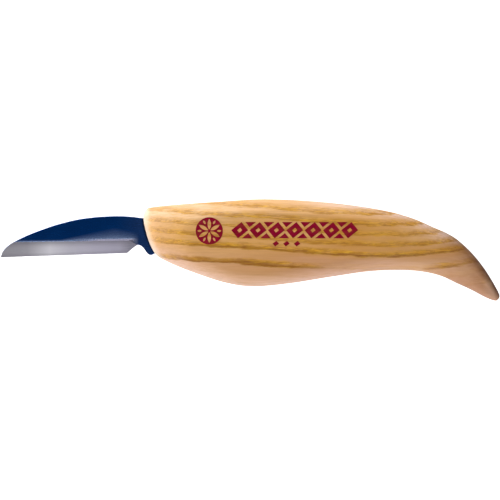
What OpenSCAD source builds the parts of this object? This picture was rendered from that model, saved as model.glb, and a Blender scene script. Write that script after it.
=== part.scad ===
// Chip carving knife: a short fixed blade bedded with epoxy in a palm-fitting
// ash handle. The knife lies on its side: +X runs from the blade's tip to the
// handle's tail, +Y points to the blade's spine and +Z out of the printed side.

/* [Handle] */
// Thickness of the planed board that the handle is shaped from
board_t = 19; // [18:0.5:20]
// Squareness of the handle's cross-section: 2 is an oval, 3.4 is almost a box
section_power = 2.8; // [2.6:0.1:3.4]
// Facets around the handle
facets_around = 48; // [24:4:64]
// Facets between one shaping line of the handle and the next
facets_along = 4; // [2:1:6]

/* [Blade] */
// Thickness of the spring steel strip
blade_t = 1.6; // [1.2:0.1:2]
// Width of the cutting edge itself
edge_t = 0.06; // [0.04:0.02:0.2]
// Facets along each stretch of the blade's curved outlines
blade_facets = 6; // [3:1:10]

/* [Tang] */
// Where the hidden tang ends, along X
tang_end_x = 14; // [0:1:24]
// Height of the tang
tang_h = 8; // [6:0.5:9]
// Diameter of the glue holes through the tang
glue_hole_d = 3; // [2:0.5:4]
// Epoxy between the steel and the wood on every side
glue_gap = 0.3; // [0.2:0.05:0.5]
// How far the epoxy sits below the mouth of the slot
glue_recess = 0.12; // [0.1:0.02:0.3]

/* [Print] */
// Thickness of the printed ink
ink_t = 0.05; // [0.03:0.01:0.1]
// Diameter of the printed rosette
rosette_d = 9.2; // [8:0.2:9.6]
// Number of petals in the rosette
petals = 6; // [5:1:8]
// Number of lozenges in the printed border
lozenges = 7; // [3:1:7]
// Distance from one lozenge to the next
border_pitch = 6.2; // [5.6:0.1:6.3]
// Height of the printed border
border_h = 5.5; // [4.5:0.5:5.5]
// Sideways lean of the border for each millimetre of height
border_lean = 0.22; // [0:0.02:0.3]

/* [Hidden] */

wood = [0.87, 0.69, 0.46];
blued_steel = [0.02, 0.13, 0.3];
resin = [0.62, 0.5, 0.3];
ink = [0.56, 0.02, 0.2];

mid_z = board_t / 2;
slot_w = blade_t + 2 * glue_gap;
cut_margin = 4;

// Shaping lines of the handle from nose to tail: the point on the back, the
// point on the belly and half the width before the board's faces cut it off.
shaping_lines = [
    [[-35.9, 7], [-35.9, 7], 0],
    [[-36.6, 11], [-34.7, 2.8], 3.8],
    [[-35.6, 13.9], [-32.4, -1.5], 6],
    [[-32, 14.8], [-28.5, -4], 7.6],
    [[-22, 15.7], [-20, -7.5], 9.6],
    [[-9, 16.6], [-9, -11.1], 10.8],
    [[3, 17.3], [0.5, -12.5], 11],
    [[17, 16.9], [13, -11.5], 11],
    [[32, 15.6], [27, -9.3], 10.6],
    [[45, 13.6], [40, -7.4], 9.8],
    [[54, 11.3], [50, -6.9], 9.1],
    [[62, 8], [58, -7.3], 8.4],
    [[69.5, 4.4], [65, -8.8], 7.6],
    [[75.5, -0.8], [71, -11.5], 6.7],
    [[80.2, -6.6], [76, -13.8], 5.6],
    [[83.8, -12.4], [80.5, -16.2], 4.1],
    [[85.3, -15.5], [83.7, -17.4], 2.1],
    [[84.9, -16.9], [84.9, -16.9], 0]
];
back = [for (line = shaping_lines) line[0]];
belly = [for (line = shaping_lines) line[1]];
half_width = [for (line = shaping_lines) line[2]];
last = len(shaping_lines) - 1;

// Blade outline: the spine from the tip to the handle, then the cutting edge
// and the relieved heel with its small spur in front of the handle.
tip = [-85.6, -2.6];
heel = [-42.2, -1.1];
spine = [tip, [-84.8, -0.5], [-83.1, 1.3], [-80.4, 3.05], [-74.8, 5.6], [-66.6, 8.5],
         [-58.4, 10.5], [-50, 11.4], [-43, 11.5], [-36.5, 10.85], [-32.5, 10.5]];
heel_relief = [heel, [-39.7, 1], [-38.5, 1.65], [-37.1, 1.1], [-36, -0.25], [-35.1, -1.4],
               [-34.1, -1.8], [-33.2, -1.5], [-32.5, -1.1]];

// Line where the ground bevel starts, and the corner where the grind runs out
grind_start = [-80.4, 2.75];
grind_corner = [-41.65, 3.28];
grind_end = [-38.7, 1.75];

// Shoulders of the blade's root inside the handle, and the tang behind them:
// the height of its centre line at the root and at its end, and its glue holes
root_x = -28;
root_low = -1.1;
root_high = 10.2;
tang_centre_y = [5.4, 3.6];
glue_holes = [0.35, 0.8];

// Catmull-Rom curve: the point at t, from 0 to 1, between b and c
function curve(a, b, c, d, t) =
    (2 * b + (c - a) * t + (2 * a - 5 * b + 4 * c - d) * t * t + (3 * b - a - 3 * c + d) * t * t * t) / 2;

// A handle line beyond its ends carries on along the opposite line
function beyond(line, opposite, i) =
    i < 0 ? opposite[-i] : i > last ? opposite[2 * last - i] : line[i];
function along(line, opposite, u) =
    let (i = min(floor(u), last - 1))
    curve(beyond(line, opposite, i - 1), line[i], line[i + 1], beyond(line, opposite, i + 2), u - i);

// An open outline through its points, ended straight
function through(points, steps) =
    let (n = len(points) - 1)
    concat([for (i = [0:n - 1], k = [0:steps - 1])
        curve(points[max(i - 1, 0)], points[i], points[i + 1], points[min(i + 2, n)], k / steps)],
        [points[n]]);

function rounded(x) = sign(x) * pow(abs(x), 2 / section_power);
function between(a, b, t) = a + (b - a) * t;

// Root shoulders and round-ended tang, clockwise and wider by grow on every side
function tang_points(grow) =
    let (r = tang_h / 2 + grow, x = root_x + grow, end_y = tang_centre_y[1])
    concat(
        [[x, root_high + grow], [x, tang_centre_y[0] + r]],
        [for (turn = [90:-7.5:-90]) [tang_end_x + r * cos(turn), end_y + r * sin(turn)]],
        [[x, tang_centre_y[0] - r], [x, root_low - grow]]
    );
function leaning(points) = [for (p = points) [p[0] + border_lean * p[1], p[1]]];

// One ring of points around the handle, cut off at the board's two faces
function ring(u) =
    let (
        top = along(back, belly, u),
        low = along(belly, back, u),
        half = along(half_width, -half_width, u)
    )
    [for (k = [0:facets_around - 1])
        let (
            turn = 360 * k / facets_around,
            flat = (top + low) / 2 + (top - low) / 2 * rounded(sin(turn)),
            depth = half * rounded(cos(turn))
        )
        [flat[0], flat[1], max(-board_t / 2, min(board_t / 2, depth))]];

// The handle's solid form around its own middle plane
module palm_form() {
    rings = last * facets_along - 1;
    n = facets_around;
    points = concat(
        [[back[0][0], back[0][1], 0]],
        [for (r = [1:rings]) each ring(r / facets_along)],
        [[back[last][0], back[last][1], 0]]
    );
    end = len(points) - 1;
    nose = [for (k = [0:n - 1]) [0, 1 + k, 1 + (k + 1) % n]];
    tail = [for (k = [0:n - 1]) [end, end - n + (k + 1) % n, end - n + k]];
    sides = [for (r = [0:rings - 2], k = [0:n - 1])
        let (a = 1 + r * n + k, b = 1 + r * n + (k + 1) % n)
        each [[a, a + n, b + n], [a, b + n, b]]];
    polyhedron(points, concat(nose, sides, tail));
}

// The handle's outline in its middle plane, as far as the shaping line given
module nose_outline(line_count) {
    steps = line_count * facets_along;
    upper = [for (k = [0:steps]) along(back, belly, k / facets_along)];
    lower = [for (k = [steps:-1:1]) along(belly, back, k / facets_along)];
    polygon(concat(upper, lower));
}

// Blade, root and tang as one outline
module blade_outline() {
    relief = through(heel_relief, blade_facets);
    backwards = [for (i = [len(relief) - 1:-1:0]) relief[i]];
    polygon(concat(through(spine, blade_facets), tang_points(0), backwards));
}

module glue_hole_outline() {
    for (t = glue_holes) {
        x = between(root_x, tang_end_x, t);
        y = between(tang_centre_y[0], tang_centre_y[1], t);
        translate([x, y]) circle(d = glue_hole_d, $fn = 32);
    }
}

// Slot in the handle for root and tang, open at the nose
module slot_outline() {
    mouth_x = back[1][0] - cut_margin;
    mouth_high = spine[len(spine) - 2][1] + glue_gap;
    mouth_low = root_low - glue_gap;
    polygon(concat([[mouth_x, mouth_low], [mouth_x, mouth_high]], tang_points(glue_gap)));
}

// Steel taken off one side by the grind, from the bevel line to the edge
module grind() {
    rise = (blade_t - edge_t) / 2;
    edge_slope = (heel[1] - tip[1]) / (heel[0] - tip[0]);
    grind_slope = (grind_corner[1] - grind_start[1]) / (grind_corner[0] - grind_start[0]);
    left = tip[0] - 1;
    right = grind_end[0] + 1;
    intersection() {
        hull() {
            for (x = [left, right]) {
                edge_y = tip[1] + edge_slope * (x - tip[0]);
                line_y = grind_start[1] + grind_slope * (x - grind_start[0]);
                drop = edge_y - line_y;
                for (step = [-0.2, 1.5]) {
                    z = blade_t / 2 - rise * step;
                    translate([x, line_y + drop * step, z]) cylinder(h = cut_margin, d = 0.001, $fn = 4);
                }
            }
        }
        translate([0, 0, -blade_t]) linear_extrude(height = 3 * blade_t) polygon([
            [left, grind_start[1] + cut_margin],
            [grind_corner[0] - cut_margin, grind_corner[1] + cut_margin],
            grind_corner,
            grind_end,
            [grind_end[0], tip[1] - cut_margin],
            [left, tip[1] - cut_margin]
        ]);
    }
}

module blade_steel() {
    difference() {
        linear_extrude(height = blade_t, center = true) difference() {
            blade_outline();
            glue_hole_outline();
        }
        grind();
        mirror([0, 0, 1]) grind();
    }
}

// One pointed leaf of the rosette, from its inner to its outer tip
module petal(inner, outer, width) {
    length = outer - inner;
    arc_r = (length * length + width * width) / (4 * width);
    middle = (inner + outer) / 2;
    intersection() {
        translate([middle, arc_r - width / 2]) circle(r = arc_r, $fn = 96);
        translate([middle, width / 2 - arc_r]) circle(r = arc_r, $fn = 96);
    }
}

module lozenge(width, height) {
    polygon(leaning([[-width / 2, 0], [0, -height / 2], [width / 2, 0], [0, height / 2]]));
}

module blade() {
    color(blued_steel) translate([0, 0, mid_z]) blade_steel();
}

module handle() {
    color(wood) translate([0, 0, mid_z]) difference() {
        palm_form();
        linear_extrude(height = slot_w, center = true) slot_outline();
    }
}

module epoxy_bed() {
    color(resin) translate([0, 0, mid_z]) difference() {
        linear_extrude(height = slot_w, center = true) intersection() {
            slot_outline();
            translate([glue_recess, 0]) nose_outline(11);
        }
        blade_steel();
    }
}

module rosette_print() {
    centre = [-13.9, 6.4];
    rim = 0.55;
    color(ink) translate([centre[0], centre[1], board_t]) linear_extrude(height = ink_t) difference() {
        circle(d = rosette_d, $fn = 96);
        for (k = [0:petals - 1]) {
            rotate(90 + 360 * k / petals) petal(0.4, rosette_d / 2 - rim, 1.2);
            rotate(90 + 360 * (k + 0.5) / petals) petal(rosette_d / 2 - 2, rosette_d / 2 - rim, 0.7);
        }
    }
}

// Row of leaning lozenges, each with a small one left open, and chips between them
module border_print() {
    centre = [15, 6.65];
    wide = border_pitch - 0.5;
    chip = 0.58 * border_pitch;
    point = 0.18 * border_h;
    color(ink) translate([centre[0], centre[1], board_t]) linear_extrude(height = ink_t) {
        for (k = [0:lozenges - 1]) {
            translate([(k - (lozenges - 1) / 2) * border_pitch, 0]) difference() {
                lozenge(wide, border_h);
                lozenge(0.3 * wide, 0.3 * border_h);
            }
        }
        for (k = [1:lozenges - 1], side = [-1, 1]) {
            rim = side * border_h / 2;
            translate([(k - lozenges / 2) * border_pitch, 0])
                polygon(leaning([[-chip / 2, rim], [chip / 2, rim], [0, side * point]]));
        }
    }
}

module lozenge_print() {
    centre = [12.2, 2.1];
    color(ink) translate([centre[0], centre[1], board_t]) linear_extrude(height = ink_t) {
        for (k = [-1:1]) {
            translate([3.6 * k, 0]) lozenge(2.2, 1.9);
        }
    }
}

blade();
handle();
epoxy_bed();
rosette_print();
border_print();
lozenge_print();
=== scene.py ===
"""Looks of a chip carving knife that lies on its side: fine meshes and procedural materials
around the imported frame, soft studio light and a camera straight above the printed side."""

import math

import bmesh
import bpy
import numpy as np
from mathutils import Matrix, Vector


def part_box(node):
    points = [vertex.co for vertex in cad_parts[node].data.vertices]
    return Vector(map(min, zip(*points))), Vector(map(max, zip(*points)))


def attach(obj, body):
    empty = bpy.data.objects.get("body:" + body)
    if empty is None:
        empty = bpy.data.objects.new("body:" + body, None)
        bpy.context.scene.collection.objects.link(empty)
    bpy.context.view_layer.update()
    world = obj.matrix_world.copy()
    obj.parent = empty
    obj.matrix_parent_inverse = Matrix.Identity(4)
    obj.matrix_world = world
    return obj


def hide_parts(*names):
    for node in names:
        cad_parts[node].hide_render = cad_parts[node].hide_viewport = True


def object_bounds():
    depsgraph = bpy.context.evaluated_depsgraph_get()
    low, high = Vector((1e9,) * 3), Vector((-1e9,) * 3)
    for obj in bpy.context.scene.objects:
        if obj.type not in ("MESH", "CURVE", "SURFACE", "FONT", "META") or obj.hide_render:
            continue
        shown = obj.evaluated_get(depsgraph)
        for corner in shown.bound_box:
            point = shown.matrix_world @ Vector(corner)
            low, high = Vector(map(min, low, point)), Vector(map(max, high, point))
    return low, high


MM = 0.001

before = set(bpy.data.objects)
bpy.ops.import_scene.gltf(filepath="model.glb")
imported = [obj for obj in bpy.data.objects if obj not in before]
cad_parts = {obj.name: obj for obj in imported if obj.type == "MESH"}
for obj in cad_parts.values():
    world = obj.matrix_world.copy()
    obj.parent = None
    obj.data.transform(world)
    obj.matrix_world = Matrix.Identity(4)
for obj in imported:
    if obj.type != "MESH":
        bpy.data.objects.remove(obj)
cad_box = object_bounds()


def thickness(node):
    """Thickness of a CAD node, in mm."""
    low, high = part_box(node)
    return (high.z - low.z) / MM


# ---------------------------------------------------------------- shape of the knife, in mm

# Shaping lines of the handle from nose to tail: the point on the back, the point on the
# belly and half the width before the board's faces cut it off.
SHAPING_LINES = [
    ((-35.9, 7), (-35.9, 7), 0),
    ((-36.6, 11), (-34.7, 2.8), 3.8),
    ((-35.6, 13.9), (-32.4, -1.5), 6),
    ((-32, 14.8), (-28.5, -4), 7.6),
    ((-22, 15.7), (-20, -7.5), 9.6),
    ((-9, 16.6), (-9, -11.1), 10.8),
    ((3, 17.3), (0.5, -12.5), 11),
    ((17, 16.9), (13, -11.5), 11),
    ((32, 15.6), (27, -9.3), 10.6),
    ((45, 13.6), (40, -7.4), 9.8),
    ((54, 11.3), (50, -6.9), 9.1),
    ((62, 8), (58, -7.3), 8.4),
    ((69.5, 4.4), (65, -8.8), 7.6),
    ((75.5, -0.8), (71, -11.5), 6.7),
    ((80.2, -6.6), (76, -13.8), 5.6),
    ((83.8, -12.4), (80.5, -16.2), 4.1),
    ((85.3, -15.5), (83.7, -17.4), 2.1),
    ((84.9, -16.9), (84.9, -16.9), 0),
]
# Squareness of the handle's section, and the board that it is shaped from
SECTION_POWER = 2.8
BOARD_T = thickness("handle")
MID_Z = BOARD_T / 2
# Fineness of the handle's mesh, and how far the edges of the board's faces are eased
RINGS_PER_LINE = 14
POINTS_AROUND = 176
SECTION_SAMPLES = 20001
FACE_EASE = 0.3

# Blade: spine, heel relief and the line where the ground bevel starts
TIP = (-85.6, -2.6)
HEEL = (-42.2, -1.1)
SPINE = [
    TIP, (-84.8, -0.5), (-83.1, 1.3), (-80.4, 3.05), (-74.8, 5.6), (-66.6, 8.5),
    (-58.4, 10.5), (-50, 11.4), (-43, 11.5), (-36.5, 10.85), (-32.5, 10.5),
]
HEEL_RELIEF = [
    HEEL, (-39.7, 1), (-38.5, 1.65), (-37.1, 1.1), (-36, -0.25), (-35.1, -1.4),
    (-34.1, -1.8), (-33.2, -1.5), (-32.5, -1.1),
]
GRIND_START = (-80.4, 2.75)
GRIND_CORNER = (-41.65, 3.28)
GRIND_END = (-38.7, 1.75)
BLADE_T = thickness("blade")
EDGE_T = 0.06

# Root and tang inside the handle, and the slot around them
ROOT_X = -28
ROOT_LOW = -1.1
ROOT_HIGH = 10.2
TANG_H = 8
TANG_END_X = 14
TANG_CENTRE_Y = (5.4, 3.6)
GLUE_GAP = 0.3
GLUE_HOLE_D = 3
GLUE_HOLES = (0.35, 0.8)
# How far the cutter of the slot starts in front of the nose
CUT_MARGIN = 4

# Points on the tang's round end and around a glue hole, and steps between two points of
# the spine and of the heel relief
TANG_ARC_POINTS = 33
HOLE_POINTS = 48
SPINE_STEPS = 24
RELIEF_STEPS = 16

# Angle between faces from which an edge looks sharp, and the distance in metres within
# which points are merged
HANDLE_SHARP = math.radians(35)
BLADE_SHARP = math.radians(32)
MERGE = 1e-7
BLADE_MERGE = 2e-6


def curve(a, b, c, d, t):
    """Catmull-Rom curve: the value at t, from 0 to 1, between b and c."""
    return (2 * b + (c - a) * t + (2 * a - 5 * b + 4 * c - d) * t**2
            + (3 * b - a - 3 * c + d) * t**3) / 2


def through(points, steps):
    """An open outline through its points, ended straight."""
    p = np.array(points, float)
    n = len(p) - 1
    made = [
        curve(p[max(i - 1, 0)], p[i], p[i + 1], p[min(i + 2, n)], k / steps)
        for i in range(n) for k in range(steps)
    ]
    return np.array(made + [p[n]])


def along(line, opposite, u):
    """The handle line at u; beyond its ends it carries on along the opposite line."""
    last = len(line) - 1
    i = min(int(u), last - 1)
    before = opposite[1] if i == 0 else line[i - 1]
    after = opposite[last - 1] if i + 2 > last else line[i + 2]
    return curve(before, line[i], line[i + 1], after, u - i)


def circle(centre, radius, count):
    """Points around a circle, as (x, y)."""
    turns = np.linspace(0, 2 * math.pi, count, endpoint=False)
    return [(centre[0] + radius * math.cos(t), centre[1] + radius * math.sin(t)) for t in turns]


def clean(mesh, merge):
    """Merges points that lie together and turns every face outwards."""
    edit = bmesh.new()
    edit.from_mesh(mesh)
    bmesh.ops.remove_doubles(edit, verts=edit.verts, dist=merge)
    bmesh.ops.dissolve_degenerate(edit, edges=edit.edges, dist=merge / 2)
    bmesh.ops.recalc_face_normals(edit, faces=edit.faces)
    edit.to_mesh(mesh)
    edit.free()


def make_object(name, points, faces, materials=(), which=None, smooth=True, merge=MERGE):
    """A mesh object from points in mm; which gives each face's material by number."""
    mesh = bpy.data.meshes.new(name)
    mesh.from_pydata([tuple(float(c) * MM for c in p) for p in points], [], faces)
    for material in materials:
        mesh.materials.append(material)
    if which:
        mesh.polygons.foreach_set("material_index", which)
    mesh.validate()
    clean(mesh, merge)
    mesh.polygons.foreach_set("use_smooth", [smooth] * len(mesh.polygons))
    made = bpy.data.objects.new(name, mesh)
    bpy.context.scene.collection.objects.link(made)
    return made


def apply_modifiers(made):
    """Replaces the object's mesh with its result after all modifiers."""
    graph = bpy.context.evaluated_depsgraph_get()
    mesh = bpy.data.meshes.new_from_object(made.evaluated_get(graph))
    made.modifiers.clear()
    made.data = mesh


def subtract(made, cutter):
    """Cuts the cutter's solid out of the object and removes the cutter."""
    cut = made.modifiers.new("cut", "BOOLEAN")
    cut.operation = "DIFFERENCE"
    cut.solver = "EXACT"
    cut.object = cutter
    apply_modifiers(made)
    bpy.data.objects.remove(cutter)


def prism(name, outline, half_depth):
    """A straight solid of a 2D outline, centred on the knife's middle plane."""
    n = len(outline)
    low = [(x, y, MID_Z - half_depth) for x, y in outline]
    high = [(x, y, MID_Z + half_depth) for x, y in outline]
    sides = [(i, (i + 1) % n, n + (i + 1) % n, n + i) for i in range(n)]
    ends = [tuple(range(n)), tuple(range(n, 2 * n))]
    return make_object(name, low + high, ends + sides, smooth=False)


# ---------------------------------------------------------------- handle

def section_points():
    """Points evenly spaced around the handle's rounded section, on a half-size of 1."""
    turn = np.linspace(0, 2 * math.pi, SECTION_SAMPLES)
    y = np.sign(np.sin(turn)) * np.abs(np.sin(turn)) ** (2 / SECTION_POWER)
    z = np.sign(np.cos(turn)) * np.abs(np.cos(turn)) ** (2 / SECTION_POWER)
    run = np.concatenate([[0], np.cumsum(np.hypot(np.diff(y), np.diff(z)))])
    wanted = np.linspace(0, run[-1], POINTS_AROUND, endpoint=False)
    return np.interp(wanted, run, y), np.interp(wanted, run, z)


def soft_cap(depth):
    """Depth cut off at the board's faces, with a slightly eased edge."""
    half = BOARD_T / 2
    size = np.abs(depth)
    near = np.clip(1 - np.abs(size - half) / FACE_EASE, 0, 1)
    return np.sign(depth) * (np.minimum(size, half) - near**2 * FACE_EASE / 4)


def handle_surface():
    """Vertices and faces of the handle as a loft over its shaping lines."""
    back, belly, half = (np.array(values, float) for values in zip(*SHAPING_LINES))
    last = len(SHAPING_LINES) - 1
    across, deep = section_points()
    points = [(*back[0], MID_Z)]
    rings = last * RINGS_PER_LINE - 1
    for r in range(1, rings + 1):
        u = r / RINGS_PER_LINE
        top, low = along(back, belly, u), along(belly, back, u)
        z = MID_Z + soft_cap(along(half, -half, u) * deep)
        xy = (top + low) / 2 + np.outer(across, (top - low) / 2)
        points += [(p[0], p[1], h) for p, h in zip(xy, z)]
    points.append((*back[last], MID_Z))
    n, end = POINTS_AROUND, len(points) - 1
    faces = [(0, 1 + k, 1 + (k + 1) % n) for k in range(n)]
    faces += [(end, end - n + (k + 1) % n, end - n + k) for k in range(n)]
    for r in range(rings - 1):
        a = 1 + r * n
        faces += [(a + k, a + n + k, a + n + (k + 1) % n, a + (k + 1) % n) for k in range(n)]
    return np.array(points), faces


def tang_outline(grow):
    """Root shoulders and round-ended tang, clockwise and wider by grow on every side."""
    r, x = TANG_H / 2 + grow, ROOT_X + grow
    arc = [
        (TANG_END_X + r * math.cos(turn), TANG_CENTRE_Y[1] + r * math.sin(turn))
        for turn in np.linspace(math.pi / 2, -math.pi / 2, TANG_ARC_POINTS)
    ]
    return ([(x, ROOT_HIGH + grow), (x, TANG_CENTRE_Y[0] + r)] + arc
            + [(x, TANG_CENTRE_Y[0] - r), (x, ROOT_LOW - grow)])


def make_handle(material):
    """The handle with its slot, in place of the faceted CAD solid."""
    points, faces = handle_surface()
    low, high = (np.array(corner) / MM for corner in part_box("handle"))
    made = make_object("ash_handle", np.clip(points, low, high), faces, [material])
    mouth = SHAPING_LINES[1][0][0] - CUT_MARGIN
    mouth_ends = [(mouth, ROOT_LOW - GLUE_GAP), (mouth, SPINE[-2][1] + GLUE_GAP)]
    subtract(made, prism("slot", mouth_ends + tang_outline(GLUE_GAP), BLADE_T / 2 + GLUE_GAP))
    made.data.set_sharp_from_angle(angle=HANDLE_SHARP)
    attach(made, "root")
    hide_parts("handle")


# ---------------------------------------------------------------- blade

# Rows up one side of the blade: shares of the ground bevel and then of the flat, and how
# far the last rows stand from the crease
BEVEL_ROWS = (0.06, 0.14, 0.28, 0.42, 0.56, 0.7, 0.84, 0.94)
FLAT_ROWS = (0.08, 0.2, 0.35, 0.5, 0.65, 0.8, 0.92)
CREASE = 0.06
# Rounding of the spine and of the lower edge behind the grind, and the angles of its rows
SPINE_ROUND = 0.16
ROUND_TURNS = (30, 60, 90)
# Height of the sharpened strip along the edge, how much thinner the edge is than the bevel
# would leave it on each side, and the least half thickness
MICRO_BEVEL = 0.3
MICRO_STEP = 0.02
LEAST_HALF = 0.012
# Where the blade is low or thin, the most of its height that the sharpened strip or the
# lower corner takes, the most of its height and half thickness that the spine's rounding
# takes, and the least half thickness that this is reckoned from
LOW_SHARE = 0.05
SPINE_SHARE = 0.1
THIN_SHARE = 0.3
THIN_HALF = 0.05
# The lower corner's second row, as a share of its size
CORNER_ROW = 0.3
# Stations along the blade: where the fine ones start behind the tip, how far they reach and
# how many they are, the steps of the others along the edge and behind the heel, and one
# that stands close behind the end of the grind
TIP_GAP = 0.03
TIP_REACH = 5
TIP_STATIONS = 26
BODY_STEP = 0.5
HEEL_STEP = 0.12
BODY_END = 0.2
RUN_OUT_STEP = 0.02


def slope(a, b):
    """Rise over run between two points."""
    return (b[1] - a[1]) / (b[0] - a[0])


def edge_y(x):
    """Height of the cutting edge."""
    return TIP[1] + slope(TIP, HEEL) * (x - TIP[0])


def crease_y(x):
    """Height of the straight line where the ground bevel meets the flat."""
    return GRIND_START[1] + slope(GRIND_START, GRIND_CORNER) * (x - GRIND_START[0])


def grind_y(x):
    """Height up to which the blade is ground: the crease, and the run-out behind it."""
    run_out = GRIND_CORNER[1] + slope(GRIND_CORNER, GRIND_END) * (x - GRIND_CORNER[0])
    return crease_y(x) if x < GRIND_CORNER[0] else run_out


def half_thickness(x, y, ground):
    """Half the blade's thickness at a point, on the ground bevel or on the flat."""
    full = BLADE_T / 2
    if not ground:
        return full
    share = (y - edge_y(x)) / (crease_y(x) - edge_y(x))
    return min(full, EDGE_T / 2 + (full - EDGE_T / 2) * share)


def blade_column(x, low, high):
    """(height, half thickness) up one side of the blade at x, from its lower edge to its spine."""
    full, room = BLADE_T / 2, high - low
    ground = x < GRIND_END[0]
    whole = x < GRIND_CORNER[0]
    if ground:
        start = low + min(MICRO_BEVEL, LOW_SHARE * room)
        thin = half_thickness(x, low, ground) - MICRO_STEP
        column = [(low, max(LEAST_HALF, thin)), (start, half_thickness(x, start, ground))]
        crease = min(max(grind_y(x), low), high)
    else:
        corner = min(SPINE_ROUND, LOW_SHARE * room)
        start = low + corner
        row = CORNER_ROW * corner
        column = [(low, full - corner), (low + row, full - row)]
        crease = low
    bevel_top = max(crease - CREASE, start)
    for share in (*BEVEL_ROWS, 1):
        y = start + (bevel_top - start) * share
        column.append((y, half_thickness(x, y, ground)))
    at_spine = half_thickness(x, high, whole)
    ease = min(SPINE_ROUND, THIN_SHARE * max(at_spine, THIN_HALF), SPINE_SHARE * room)
    flat_low = max(crease, start)
    flat_high = max(high - ease, flat_low)
    heights = [flat_low, min(flat_low + CREASE, flat_high)]
    heights += [flat_low + (flat_high - flat_low) * share for share in (*FLAT_ROWS, 1)]
    column += [(y, half_thickness(x, y, whole)) for y in heights]
    for turn in np.radians(ROUND_TURNS):
        rise = (high - flat_high) * math.sin(turn)
        column.append((flat_high + rise, at_spine - ease * (1 - math.cos(turn))))
    return column


def blade_stations():
    """Places along the blade: close together at the tip and at the heel."""
    fine = TIP[0] + TIP_GAP + np.linspace(0, 1, TIP_STATIONS) ** 2 * TIP_REACH
    body = np.arange(fine[-1] + BODY_STEP, HEEL[0] - BODY_END, BODY_STEP)
    heel = np.arange(HEEL[0], SPINE[-1][0], HEEL_STEP)
    corners = [GRIND_CORNER[0], GRIND_END[0], GRIND_END[0] + RUN_OUT_STEP, SPINE[-1][0]]
    return np.unique(np.concatenate([fine, body, heel, corners]).round(4))


def blade_columns():
    """(x, column) for each station of the blade."""
    spine, relief = through(SPINE, SPINE_STEPS), through(HEEL_RELIEF, RELIEF_STEPS)
    columns = []
    for x in blade_stations():
        high = float(np.interp(x, *spine.T))
        low = float(edge_y(x)) if x <= HEEL[0] else float(np.interp(x, *relief.T))
        columns.append((x, blade_column(x, low, high)))
    return columns


def blade_surface():
    """Points and faces of the blade, and for each face 1 on the ground bevel and 0 elsewhere."""
    columns = blade_columns()
    ring = 2 * len(columns[0][1])
    points, faces, bevel = [(*TIP, MID_Z)], [], []
    for x, column in columns:
        points += [(x, y, MID_Z + half) for y, half in column]
        points += [(x, y, MID_Z - half) for y, half in reversed(column)]
    bevel_rows = 2 + len(BEVEL_ROWS)
    for c in range(len(columns) - 1):
        a = 1 + c * ring
        in_grind = columns[c + 1][0] < GRIND_END[0] + RUN_OUT_STEP / 2
        for k in range(ring):
            b = (k + 1) % ring
            faces.append((a + k, a + b, a + ring + b, a + ring + k))
            bevel.append(int(in_grind and min(k, ring - 2 - k) < bevel_rows))
    faces += [(0, 1 + (k + 1) % ring, 1 + k) for k in range(ring)]
    bevel += [1] * ring
    last = 1 + (len(columns) - 1) * ring
    faces.append(tuple(last + k for k in range(ring)))
    bevel.append(0)
    return points, faces, bevel


def make_blade(flat_steel, ground_steel):
    """The blade up to its root, with ground bevel, eased spine, relieved heel and spur."""
    points, faces, bevel = blade_surface()
    made = make_object("steel_blade", points, faces, [flat_steel, ground_steel], bevel,
                       merge=BLADE_MERGE)
    made.data.set_sharp_from_angle(angle=BLADE_SHARP)
    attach(made, "root")
    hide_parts("blade")


def make_tang(material):
    """The hidden root and tang, with their glue holes."""
    made = prism("steel_tang", [SPINE[-1]] + tang_outline(0) + [HEEL_RELIEF[-1]], BLADE_T / 2)
    for share in GLUE_HOLES:
        x = ROOT_X + (TANG_END_X - ROOT_X) * share
        y = TANG_CENTRE_Y[0] + (TANG_CENTRE_Y[1] - TANG_CENTRE_Y[0]) * share
        subtract(made, prism("hole", circle((x, y), GLUE_HOLE_D / 2, HOLE_POINTS), BLADE_T))
    made.data.materials.clear()
    made.data.materials.append(material)
    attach(made, "root")


# ---------------------------------------------------------------- materials

def srgb(shade):
    """A linear colour from an sRGB one given as 0 to 255."""
    linear = [((c / 255 + 0.055) / 1.055) ** 2.4 if c > 10 else c / 255 / 12.92 for c in shade]
    return (*linear, 1)


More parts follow.
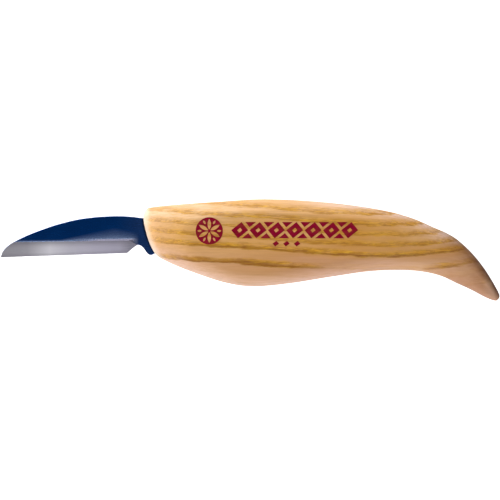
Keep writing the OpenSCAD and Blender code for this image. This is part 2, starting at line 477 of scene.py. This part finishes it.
class Nodes:
    """Short calls that build one material's node tree.

    Shades are sRGB from 0 to 255. A stretch limits a tint: it names a value and says where the
    tint starts, where it is full and, if it isn't 0, how much of it shows before the start.
    """

    def __init__(self, name):
        self.material = bpy.data.materials.new(name)
        self.material.use_nodes = True
        self.tree = self.material.node_tree
        self.tree.nodes.clear()

    def add(self, kind, inputs=(), **properties):
        """A node with its properties, and its inputs as values or as sockets to link."""
        node = self.tree.nodes.new("ShaderNode" + kind)
        for key, value in properties.items():
            setattr(node, key, value)
        for key, value in dict(inputs).items():
            if isinstance(value, bpy.types.NodeSocket):
                self.tree.links.new(value, node.inputs[key])
            else:
                node.inputs[key].default_value = value
        return node

    def places(self):
        """The point in mm, and its x, y and z."""
        point = self.add("TexCoord").outputs["Object"]
        mm = self.add("Mapping", {"Vector": point, "Scale": (1 / MM,) * 3}).outputs[0]
        return mm, *self.add("SeparateXYZ", {0: mm}).outputs

    def math(self, operation, a, b=0.0, c=0.0):
        return self.add("Math", {0: a, 1: b, 2: c}, operation=operation).outputs[0]

    def times(self, a, b):
        return self.math("MULTIPLY", a, b)

    def minus(self, a, b):
        return self.math("SUBTRACT", a, b)

    def linear(self, value, slope, start):
        """start + slope * value"""
        return self.math("MULTIPLY_ADD", value, slope, start)

    def noise(self, mm, waves, detail=3, roughness=0.5):
        """Noise with that many waves per mm along X, Y and Z."""
        vector = self.add("Mapping", {"Vector": mm, "Scale": waves}).outputs[0]
        inputs = {"Vector": vector, "Scale": 1, "Detail": detail, "Roughness": roughness}
        return self.add("TexNoise", inputs).outputs["Fac"]

    def range(self, value, low, high, to_low=0, to_high=1):
        """Goes from to_low at low to to_high at high, and stays there beyond them."""
        inputs = {"Value": value, "From Min": low, "From Max": high,
                  "To Min": to_low, "To Max": to_high}
        return self.add("MapRange", inputs).outputs["Result"]

    def ramp(self, value, stops):
        """Shade or grey for a value from 0 to 1: stops are (place, shade or grey)."""
        node = self.add("ValToRGB", {"Fac": value})
        elements = node.color_ramp.elements
        for place, _ in stops[1:-1]:
            elements.new(place)
        for element, (place, shade) in zip(elements, stops):
            element.position = place
            element.color = srgb(shade) if isinstance(shade, tuple) else (shade, shade, shade, 1)
        return node.outputs["Color"]

    def mix(self, share, under, over):
        """One colour laid over another by a share."""
        under, over = (srgb(c) if isinstance(c, tuple) else c for c in (under, over))
        return self.add("Mix", {0: share, 6: under, 7: over}, data_type="RGBA").outputs[2]

    def limited(self, most, stretches, values):
        """A share that reaches its most where all its stretches are full."""
        for name, start, full, *least in stretches:
            most = self.times(self.range(values[name], start, full, *least), most)
        return most

    def paint(self, under, tints, values):
        """Lays tints over a colour in turn: (shade, share at most, stretches)."""
        for shade, most, stretches in tints:
            under = self.mix(self.limited(most, stretches, values), under, shade)
        return under

    def bump(self, height, distance, strength=1):
        inputs = {"Height": height, "Distance": distance, "Strength": strength}
        return self.add("Bump", inputs).outputs[0]

    def finish(self, **inputs):
        """Ends the tree in one principled shader."""
        named = {key.replace("_", " "): value for key, value in inputs.items()}
        shader = self.add("BsdfPrincipled", named)
        output = self.add("OutputMaterial")
        self.tree.links.new(shader.outputs[0], output.inputs["Surface"])
        return self.material


# Nose and tail of the handle. The nose is a parabola: its top, where it stands there, and how
# fast it draws back below. Back and belly of the tail are straight lines, the first one
# with a parabola on it that is a quarter of the bulge high.
NOSE_TOP = 11
NOSE_X = -36.6
NOSE_BEND = 0.0275
TAIL_BACK = ((69.5, 4.4), (85.3, -15.5))
TAIL_BULGE = 6.4
TAIL_BELLY = ((83.7, -17.4), (65, -8.6))


def behind_nose(n, x, y):
    """How far a point lies behind the front of the handle's nose, in mm."""
    below_top = n.minus(NOSE_TOP, y)
    return n.minus(x, n.linear(n.times(below_top, below_top), NOSE_BEND, NOSE_X))


def past_line(n, x, y, line):
    """How far a point lies to the left of a line through two points, in mm."""
    (x1, y1), (x2, y2) = line
    run = math.hypot(x2 - x1, y2 - y1)
    across, up = (y1 - y2) / run, (x2 - x1) / run
    return n.linear(x, across, n.linear(y, up, -(x1 * across + y1 * up)))


def past_tail_back(n, x, y):
    """How far a point lies outside the curved back of the tail, in mm."""
    (start, _), (end, _) = TAIL_BACK
    share = n.linear(x, 1 / (end - start), -start / (end - start))
    bulge = n.times(share, n.minus(1, share))
    return n.linear(bulge, -TAIL_BULGE, past_line(n, x, y, TAIL_BACK))


# ---------------------------------------------------------------- ash

# Growth rings: distance of each one's pore line from the main one, in mm at the printed
# face and counted towards the spine, and how strongly its early wood shows
GROWTH_RINGS = [
    (-19.5, 0.6), (-13, 0.75), (-8.9, 0.25), (-5.2, 1), (0, 1), (3.4, 0.7),
    (6.9, 0.55), (10.3, 0.75), (13.8, 0.7), (17.5, 0.6),
]
RING_RANGE = (-24, 22)
# Width of the golden early wood and of the dark pore line, and where both start and are
# full next to the line, in mm
EARLY_WOOD = 2.1
PORE_LINE = 0.7
RING_START = -0.37
RING_FULL = 0.18
# The main ring in the printed face: its lean and height, where it starts to bend up and how
# fast, and the place of the tree's pith below it
RING_LEAN = -0.065
RING_Y = 0.25
BEND_X = 38
RING_BEND = 0.0035
RING_RADIUS = 72
PITH_Z = -3
# Waves per mm of the slow drift and the ripple that move the rings, and how far they do
DRIFT_WAVES = (0.03, 0.08, 0.08)
DRIFT = 1.4
RIPPLE_WAVES = (0.12, 0.7, 0.7)
RIPPLE = 2.2

# Patterns in the ash: waves per mm along X, Y and Z, detail, roughness, and the levels of
# the noise where each starts and is full
ASH_PATTERNS = {
    "streaks": ((0.06, 1.5, 1.5), 6, 0.72, 0.38, 0.66),
    "blotch": ((0.16, 0.9, 0.9), 3, 0.5, 0.38, 0.58),
    "broken": ((0.11, 1.2, 1.2), 3, 0.5, 0.42, 0.56),
    "coarse": ((0.3, 2.3, 2.3), 3, 0.6, 0.5, 0.57),
    "fine": ((0.35, 4.6, 4.6), 2, 0.5, 0.54, 0.62),
    "glints": ((0.28, 1.8, 1.8), 3, 0.6, 0.51, 0.6),
    "mottle": ((0.16, 0.4, 0.3), 4, 0.65, 0.4, 0.6),
}

# Where the rings fade: (share at most, stretches) for the pale waist, the belly and the tail
QUIET = [
    (1, [("x", 16, 26), ("x", 66, 58), ("place", -2.6, -3.8)]),
    (1, [("x", 40, 20), ("place", -6.4, -7.2)]),
    (0.9, [("x", 64, 72), ("place", 1, -9, 1 / 3)]),
]
QUIET_SHARE = 0.85
# Where the rings of the front half are calmer and their gold is more spread out
CALM = (0.55, [("place", 1.2, 2.6), ("x", 24, -4)])
CALM_GOLD = 0.35
CALM_GLINTS = 0.4
CALM_BLOTCH = 0.25
# How strong the early wood is where its first pores and where all of its pores are open
PORE_LEVELS = (0.04, 0.7)
# How much of the painted shade on the tail's back shows, from its front to its end, and how
# much the mottle adds
PAINTED_TAIL_SHADE_SHARE = (74, 82, 0.68, 0.8)
PAINTED_TAIL_SHADE_MOTTLE = 0.2
# How deep that painted shade reaches, from its front to its end
PAINTED_TAIL_SHADE_DEPTH = (72, 84, 4.5, 2.5)

# The late wood on the spine side and on the belly side of the main ring, and the places
# between which it changes
LATE_SPINE = (228, 176, 108)
LATE_BELLY = (216, 166, 122)
LATE_CHANGE = (0.5, -4.5)

# Tints over the late wood: (shade, share at most, stretches)
LATE_TINTS = [
    # golden brown along the middle
    ((200, 142, 80), 0.75, [("place", 5, 1), ("x", -14, 16)]),
    # painted light: a paler back, paler still towards the nose
    ((232, 186, 134), 1, [("y", 10, 15)]),
    ((244, 214, 180), 0.55, [("y", 7, 12), ("x", 4, -16)]),
    # painted light on a pinker wood tone: paler, pinker belly and back of the rear half, on the
    # rounded parts below the faces
    ((238, 200, 180), 1, [("y", 2, -4), ("x", 62, 26, 0.2), ("side", 9.4, 5.5)]),
    ((236, 208, 196), 0.85, [("y", 0, 4), ("x", 12, 40), ("side", 9.4, 5.5)]),
    # honey-coloured waist
    ((200, 140, 60), 0.75, [
        ("x", 14, 28), ("x", 64, 48), ("place", 1, 3), ("place", 14, 12),
        ("x", 25, 30, 0.6), ("x", 44, 38, 0.6),
    ]),
    # rosy band on the belly side of the main ring
    ((208, 160, 144), 0.3, [("x", 6, 20), ("x", 58, 46), ("place", -0.6, -1.8)]),
    ((222, 182, 154), 0.4, [("x", 34, 58), ("place", -1, -3)]),
    # fine streaks all over
    ((192, 136, 80), 0.5, [("streaks", 0, 1)]),
]

# Tints of the growth rings
RING_TINTS = [
    # golden early wood and its glints
    ((210, 150, 32), 1, [("gold", 0, 1)]),
    ((236, 182, 58), 0.6, [("glints", 0, 1), ("early", 0, 1)]),
    # broken pore lines and open pores
    ((148, 88, 14), 0.65, [("line", 0, 1), ("broken", 0, 1, 1 / 13)]),
    ((146, 86, 20), 0.45, [("pores", 0, 1)]),
    # darker line at the main ring and browner ring next to it
    ((124, 70, 14), 0.6, [("line", 0, 1), ("place", 1.5, 0.4), ("x", -28, -14)]),
    ((140, 84, 24), 0.5, [("early", 0, 1), ("place", -3.2, -4.4), ("x", 16, 6), ("x", -30, -22)]),
]

# Tints of the handle's two ends, mostly painted light and shade
END_TINTS = [
    # warm, mottled tail, and a painted highlight as a pale tip
    ((176, 112, 70), 0.42, [("mottle", 0, 1, 0.3), ("x", 60, 76)]),
    ((240, 204, 178), 0.5, [("x", 79, 83)]),
    # painted shade along the tail's back, which faces away from the light, darker at its rim
    ((106, 58, 26), 1, [("painted_tail_shade", 0, 1), ("painted_tail_shade_depth", -1, -0.15), ("x", 63, 78)]),
    ((84, 54, 38), 0.5, [("past_back", -0.8, -0.15), ("x", 60, 76)]),
    # painted shade along the tail's belly
    ((160, 110, 84), 0.66, [("past_belly", -3.4, 0), ("x", 58, 72)]),
    # painted highlight on the nose, nearly white at its front
    ((236, 194, 168), 0.25, [("behind_nose", 12, 1)]),
    ((238, 222, 208), 0.65, [("behind_nose", 2.4, 0.2)]),
]


def ring_place(n, mm, x, y, z):
    """How far a point lies outside the main growth ring, in mm, with the rings' waves."""
    bend = n.math("MAXIMUM", n.minus(x, BEND_X), 0)
    line = n.linear(n.times(bend, bend), RING_BEND, n.linear(x, RING_LEAN, RING_Y))
    rise = n.math("ADD", n.minus(y, line), RING_RADIUS)
    out = n.minus(z, MID_Z + PITH_Z)
    radius = n.math("SQRT", n.math("ADD", n.times(rise, rise), n.times(out, out)))
    at_face = math.hypot(RING_RADIUS, BOARD_T - MID_Z - PITH_Z)
    drift = n.noise(mm, DRIFT_WAVES, detail=2)
    ripple = n.noise(mm, RIPPLE_WAVES, detail=5, roughness=0.65)
    place = n.linear(n.minus(drift, 0.5), DRIFT, n.minus(radius, at_face))
    return n.linear(n.minus(ripple, 0.5), RIPPLE, place)


def ring_share(n, place, wide):
    """A share that starts sharply at each ring's pore line and fades outwards over a width."""
    low, high = RING_RANGE
    stops = [(low, 0.0)]
    for line, strength in GROWTH_RINGS:
        stops += [(line + RING_START, 0.0), (line + RING_FULL, strength), (line + wide, 0.0)]
    stops.append((high, 0.0))
    shares = [((at - low) / (high - low), strength) for at, strength in stops]
    return n.ramp(n.range(place, low, high), shares)


def ash_rings(n, values):
    """Adds the growth rings' early wood, gold, pore lines and open pores to the values."""
    place = values["place"]
    quiet = 0
    for most, stretches in QUIET:
        quiet = n.math("MAXIMUM", n.limited(most, stretches, values), quiet)
    loud = n.linear(quiet, -QUIET_SHARE, 1)
    calm = n.limited(*CALM, values)
    faint = n.minus(1, ring_share(n, place, EARLY_WOOD))
    early = n.times(n.minus(1, n.times(faint, faint)), loud)
    line = n.times(ring_share(n, place, PORE_LINE), loud)
    gold = n.times(early, n.linear(values["blotch"], 0.5, 0.5))
    gold = n.times(gold, n.linear(calm, -CALM_GOLD, 1))
    spread = n.linear(values["glints"], CALM_GLINTS, n.times(values["blotch"], CALM_BLOTCH))
    pores = n.math("MAXIMUM", values["coarse"], values["fine"])
    values["early"] = early
    values["line"] = n.times(line, n.minus(1, calm))
    values["gold"] = n.math("MAXIMUM", gold, n.times(spread, calm))
    values["pores"] = n.times(pores, n.range(early, *PORE_LEVELS))


def ash_values(n):
    """Everything that the ash's colour follows, by name: places in mm and shares of patterns."""
    mm, x, y, z = n.places()
    values = {"mm": mm, "x": x, "y": y}
    values["side"] = n.math("ABSOLUTE", n.minus(z, MID_Z))
    values["place"] = ring_place(n, mm, x, y, z)
    for name, (waves, detail, roughness, start, full) in ASH_PATTERNS.items():
        values[name] = n.range(n.noise(mm, waves, detail, roughness), start, full)
    ash_rings(n, values)
    values["behind_nose"] = behind_nose(n, x, y)
    values["past_belly"] = past_line(n, x, y, TAIL_BELLY)
    values["past_back"] = past_tail_back(n, x, y)
    # painted shade on the tail's back: how deep it reaches, and how much of it shows
    values["painted_tail_shade_depth"] = n.math("DIVIDE", values["past_back"], n.range(x, *PAINTED_TAIL_SHADE_DEPTH))
    values["painted_tail_shade"] = n.linear(values["mottle"], PAINTED_TAIL_SHADE_MOTTLE, n.range(x, *PAINTED_TAIL_SHADE_SHARE))
    return values


def ash_colour(n):
    """Colour of the ash with painted light and shade on its edges and ends, and the values that it
    follows.
    """
    values = ash_values(n)
    wood = n.mix(n.range(values["place"], *LATE_CHANGE), LATE_SPINE, LATE_BELLY)
    return n.paint(wood, LATE_TINTS + RING_TINTS + END_TINTS, values), values


def ash_material():
    """Ash with golden early wood, open pores and a satin finish."""
    n = Nodes("ash_wood")
    wood, values = ash_colour(n)
    waves = n.noise(values["mm"], (0.12, 0.5, 0.5), detail=2)
    height = n.linear(values["pores"], -0.6, waves)
    rough = n.range(waves, 0.3, 0.7, 0.44, 0.58)
    return n.finish(Base_Color=wood, Roughness=rough, IOR=1.45, Specular_IOR_Level=0.35,
                    Normal=n.bump(height, 0.05 * MM, 0.6))


# ---------------------------------------------------------------- ink, steel and epoxy

def ink_material():
    """Maroon ink, broken a little where the wood's pores take less of it."""
    n = Nodes("maroon_ink")
    wood, values = ash_colour(n)
    mm, pores = values["mm"], values["pores"]
    cloud = n.noise(mm, (0.5, 0.9, 0.9))
    ink = n.mix(n.range(cloud, 0.35, 0.65), (124, 0, 30), (142, 0, 44))
    specks = n.range(n.noise(mm, (2.5, 5, 5), detail=2), 0.68, 0.76, 0, 0.16)
    colour = n.mix(n.math("MAXIMUM", specks, n.times(pores, 0.06)), ink, wood)
    return n.finish(Base_Color=colour, Roughness=n.range(cloud, 0.3, 0.7, 0.5, 0.62), IOR=1.4,
                    Specular_IOR_Level=0.1, Normal=n.bump(pores, 0.02 * MM, 0.5))


def above_line(n, x, y, a, b):
    """How far a point lies above a line through two points, in mm."""
    rise = slope(a, b)
    return n.minus(y, n.linear(x, rise, a[1] - rise * a[0]))


def blade_values(n):
    """Places on the blade in mm, by name."""
    mm, x, y, _ = n.places()
    return {
        "mm": mm,
        "x": x,
        "above_edge": above_line(n, x, y, TIP, HEEL),
        "above_crease": above_line(n, x, y, GRIND_START, GRIND_CORNER),
        "behind_nose": behind_nose(n, x, y),
    }


# Painted reflection above the crease, laid on as a paler blue: how high it reaches from the tip to
# the heel, and how it fades
PAINTED_REFLECTION_REACH = (-65, -47, 0.6, 4.4)
PAINTED_REFLECTION_HEEL = (-40, -46, 0.65, 1)
PAINTED_REFLECTION_FADE = [
    (0, 1.0), (0.19, 0.9), (0.34, 0.56), (0.49, 0.33), (0.64, 0.22), (0.8, 0.1), (1, 0.0),
]
# Stretches along the crease that has a turned lip and a painted highlight, and the lip's height,
# counted in depths of the polishing lines
LIP = [("x", -62, -52), ("x", -38.2, -40.5)]
LIP_LINES = 150
LINE_DEPTH = 0.0005 * MM

FLAT_TINTS = [
    # painted reflection: a paler blue above the crease
    ((172, 200, 254), 1, [("thin", 0, 1), ("x", -38.2, -40.5)]),
    # greyer tip and heel
    ((88, 118, 168), 0.3, [("x", -74, -86)]),
    ((130, 150, 190), 0.1, [("x", -46, -38)]),
    # painted highlight: a pale mauve line along the crease, over the lip's bumps
    ((158, 156, 178), 1, [("above_crease", 0.7, 0.4)] + LIP),
    # shade in front of the handle's nose
    ((2, 12, 30), 0.85, [("behind_nose", -0.8, -0.1)]),
]


def flat_steel_material():
    """Spring steel with a polished blue finish, a painted reflection in paler blue above the grind
    and a painted highlight in pale mauve along the crease.
    """
    n = Nodes("blued_steel")
    values = blade_values(n)
    x, above = values["x"], values["above_crease"]
    lines = n.noise(values["mm"], (0.3, 14, 14))
    cloud = n.noise(values["mm"], (0.08, 0.2, 0.2), detail=2)
    blue = n.mix(n.range(cloud, 0.35, 0.65), (9, 68, 142), (13, 76, 154))
    # painted reflection: the paler blue above the crease, and how high it reaches
    reach = n.times(n.range(x, *PAINTED_REFLECTION_REACH), n.range(x, *PAINTED_REFLECTION_HEEL))
    values["thin"] = n.ramp(n.math("DIVIDE", above, reach), PAINTED_REFLECTION_FADE)
    lip = n.times(n.limited(1, LIP, values), n.range(above, 0, 0.6))
    return n.finish(Base_Color=n.paint(blue, FLAT_TINTS, values), Metallic=1,
                    Roughness=n.range(lines, 0.3, 0.7, 0.22, 0.28),
                    Normal=n.bump(n.linear(lip, LIP_LINES, lines), LINE_DEPTH))


# Shades of the ground bevel between its two ends in front and behind, with a painted highlight
# a third of the way back and darker towards the heel, and the bands of painted shade along its
# edge and its crease: how wide they are, in mm, and how they fade
BEVEL_ENDS = (-86, -38)
BEVEL_SHADES = [
    (0, (150, 148, 156)), (0.2, (164, 161, 170)), (0.36, (216, 214, 222)),
    (0.5, (190, 187, 200)), (0.72, (172, 168, 186)), (0.86, (160, 156, 174)),
    (0.93, (126, 124, 138)), (1, (112, 110, 124)),
]
EDGE_ZONE = 1.2
EDGE_FADE = [(0, 0.45), (0.3, 0.3), (0.6, 0.15), (1, 0.0)]
CREASE_ZONE = 2.4
CREASE_FADE = [
    (0, 0.66), (0.2, 0.58), (0.36, 0.42), (0.5, 0.28), (0.65, 0.18), (0.8, 0.08), (1, 0.0),
]
BEVEL_TINTS = [
    # painted shade along the edge and along the crease
    ((96, 92, 106), 1, [("painted_edge_shade", 0, 1)]),
    ((96, 92, 106), 1, [("painted_crease_shade", 0, 1)]),
    ((226, 224, 232), 0.16, [("marks", 0.3, 0.7)]),
]


def ground_steel_material():
    """Bright steel of the bevel, with the grinder's fine marks along it, a painted highlight and
    painted shade along its edge and its crease.
    """
    n = Nodes("ground_steel")
    values = blade_values(n)
    marks = n.noise(values["mm"], (0.25, 9, 9), detail=4, roughness=0.6)
    values["marks"] = marks
    # painted shade in bands along the edge and the crease
    values["painted_edge_shade"] = n.ramp(n.range(values["above_edge"], 0, EDGE_ZONE), EDGE_FADE)
    values["painted_crease_shade"] = n.ramp(n.times(values["above_crease"], -1 / CREASE_ZONE), CREASE_FADE)
    steel = n.ramp(n.range(values["x"], *BEVEL_ENDS), BEVEL_SHADES)
    return n.finish(Base_Color=n.paint(steel, BEVEL_TINTS, values), Metallic=1,
                    Roughness=n.range(marks, 0.25, 0.75, 0.3, 0.42),
                    Normal=n.bump(marks, 0.006 * MM, 0.5))


def epoxy_material():
    """Amber epoxy at the slot's mouth, a little cloudy."""
    n = Nodes("amber_epoxy")
    cloud = n.noise(n.places()[0], (0.8, 0.8, 0.8))
    amber = n.mix(n.range(cloud, 0.35, 0.65), (92, 62, 34), (126, 90, 52))
    return n.finish(Base_Color=amber, Roughness=n.range(cloud, 0.3, 0.7, 0.18, 0.3), IOR=1.55,
                    Normal=n.bump(cloud, 0.03 * MM, 0.4))


def dress_cad_node(name, material):
    """Gives a carried-over CAD node its material."""
    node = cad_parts[name]
    node.data.materials.clear()
    node.data.materials.append(material)


# ---------------------------------------------------------------- stage, light and camera

WHITE = (1, 1, 1, 1)
# Half the floor's width and the dome's radius, how far the floor lies below the knife, in
# mm, and how much each glows
STAGE_RADIUS = 6000
FLOOR_DROP = 0.02
FLOOR_GLOW = 0.75
BACKDROP_GLOW = 1
# The dome: its rings and sides, and the tilts of its first and last ring
BACKDROP_RINGS = 24
BACKDROP_SIDES = 64
BACKDROP_TILTS = (-0.1, math.pi / 2 - 0.05)


def white_material(name, glow):
    """Plain white card that glows a little, with a faint paper-like variation."""
    n = Nodes(name)
    paper = n.noise(n.places()[0], (0.003, 0.003, 0.003), detail=2)
    return n.finish(Base_Color=n.ramp(paper, [(0, (248, 248, 248)), (1, (252, 252, 252))]),
                    Roughness=0.9, Emission_Color=WHITE, Emission_Strength=glow)


def only_seen(made):
    """Leaves the object out of the light that falls on the knife."""
    made.visible_diffuse = False
    made.visible_glossy = False
    made.visible_shadow = False


def make_floor():
    """A pale floor just below the knife."""
    r = STAGE_RADIUS
    corners = [(-r, -r, 0), (r, -r, 0), (r, r, 0), (-r, r, 0)]
    card = white_material("pale_floor", FLOOR_GLOW)
    floor = make_object("floor", corners, [(0, 1, 2, 3)], [card], smooth=False)
    floor.location.z = -FLOOR_DROP * MM
    only_seen(floor)


def make_backdrop():
    """A white dome around the floor."""
    n = BACKDROP_SIDES
    points = []
    for tilt in np.linspace(*BACKDROP_TILTS, BACKDROP_RINGS):
        height = STAGE_RADIUS * math.sin(tilt)
        points += [(*p, height) for p in circle((0, 0), STAGE_RADIUS * math.cos(tilt), n)]
    faces = [
        (r * n + k, r * n + (k + 1) % n, (r + 1) * n + (k + 1) % n, (r + 1) * n + k)
        for r in range(BACKDROP_RINGS - 1) for k in range(n)
    ]
    card = white_material("white_backdrop", BACKDROP_GLOW)
    only_seen(make_object("backdrop", points, faces, [card]))


# Surroundings: brightness towards the blade's tip and towards the handle's tail, how many
# times brighter the white table below is, and how steeply down it starts and is full
WORLD_TIP = 0.33
WORLD_TAIL = 0.08
WORLD_BELOW = 3.2
TABLE_EDGE = (0.05, -0.12)


def make_world():
    """Studio surroundings: bright beyond the tip, dark beyond the tail, a white table below."""
    world = bpy.data.worlds.new("studio")
    world.use_nodes = True
    tree = world.node_tree
    place = tree.nodes.new("ShaderNodeTexCoord")
    split = tree.nodes.new("ShaderNodeSeparateXYZ")
    tree.links.new(place.outputs["Generated"], split.inputs[0])
    strength = tree.nodes.new("ShaderNodeMath")
    strength.operation = "MULTIPLY"
    ranges = (("X", (-1, 1, WORLD_TIP, WORLD_TAIL)), ("Z", (*TABLE_EDGE, 1, WORLD_BELOW)))
    for factor, (axis, limits) in zip(strength.inputs, ranges):
        across = tree.nodes.new("ShaderNodeMapRange")
        for name, value in zip(("From Min", "From Max", "To Min", "To Max"), limits):
            across.inputs[name].default_value = value
        tree.links.new(split.outputs[axis], across.inputs["Value"])
        tree.links.new(across.outputs["Result"], factor)
    background = tree.nodes["Background"]
    tree.links.new(strength.outputs[0], background.inputs["Strength"])
    background.inputs["Color"].default_value = WHITE
    bpy.context.scene.world = world


# Soft boxes: the direction in which each stands from the knife, its distance and size in
# metres, and its power in watts
SOFT_BOXES = {
    "back_box": ((-0.45, 0.85, 0.28), 0.95, (1.4, 0.7), 13.2),
    "front_box": ((-0.1, -0.95, 0.2), 0.95, (1.4, 0.7), 6),
    "tip_box": ((-1, 0.2, 0.12), 0.6, (0.5, 0.4), 2.6),
    "side_box": ((0.35, -0.55, 0.7), 1, (0.5, 0.5), 2.4),
    "bevel_card": ((-0.1, -0.34, 0.94), 0.9, (0.3, 0.16), 0.3),
}


def make_lights():
    """The soft boxes, each facing the knife."""
    for name, (direction, distance, size, power) in SOFT_BOXES.items():
        light = bpy.data.lights.new(name, "AREA")
        light.shape = "RECTANGLE"
        light.size, light.size_y = size
        light.energy = power
        made = bpy.data.objects.new(name, light)
        made.location = Vector(direction).normalized() * distance
        made.rotation_mode = "QUATERNION"
        made.rotation_quaternion = made.location.to_track_quat("Z", "Y")
        bpy.context.scene.collection.objects.link(made)


# The camera's lens and sensor in mm, and the knife's length over the picture's width
CAMERA_LENS = 150
CAMERA_SENSOR = 36
FILL = 0.9975


def make_camera():
    """A long lens straight above the printed side, the spine side up in the picture."""
    low, high = cad_box
    centre = (low + high) / 2
    camera = bpy.data.cameras.new("camera")
    camera.lens, camera.sensor_width = CAMERA_LENS, CAMERA_SENSOR
    made = bpy.data.objects.new("camera", camera)
    distance = (high.x - low.x) / FILL * CAMERA_LENS / CAMERA_SENSOR
    made.location = (centre.x, centre.y, centre.z + distance)
    bpy.context.scene.collection.objects.link(made)
    bpy.context.scene.camera = made


def set_view():
    """Plain colours, without a film look."""
    view = bpy.context.scene.view_settings
    view.view_transform = "Standard"
    view.look = "None"
    view.exposure = 0


set_view()
flat_steel = flat_steel_material()
make_handle(ash_material())
make_blade(flat_steel, ground_steel_material())
make_tang(flat_steel)
dress_cad_node("epoxy_bed", epoxy_material())
ink = ink_material()
for print_node in ("rosette_print", "border_print", "lozenge_print"):
    dress_cad_node(print_node, ink)
make_floor()
make_backdrop()
make_world()
make_lights()
make_camera()
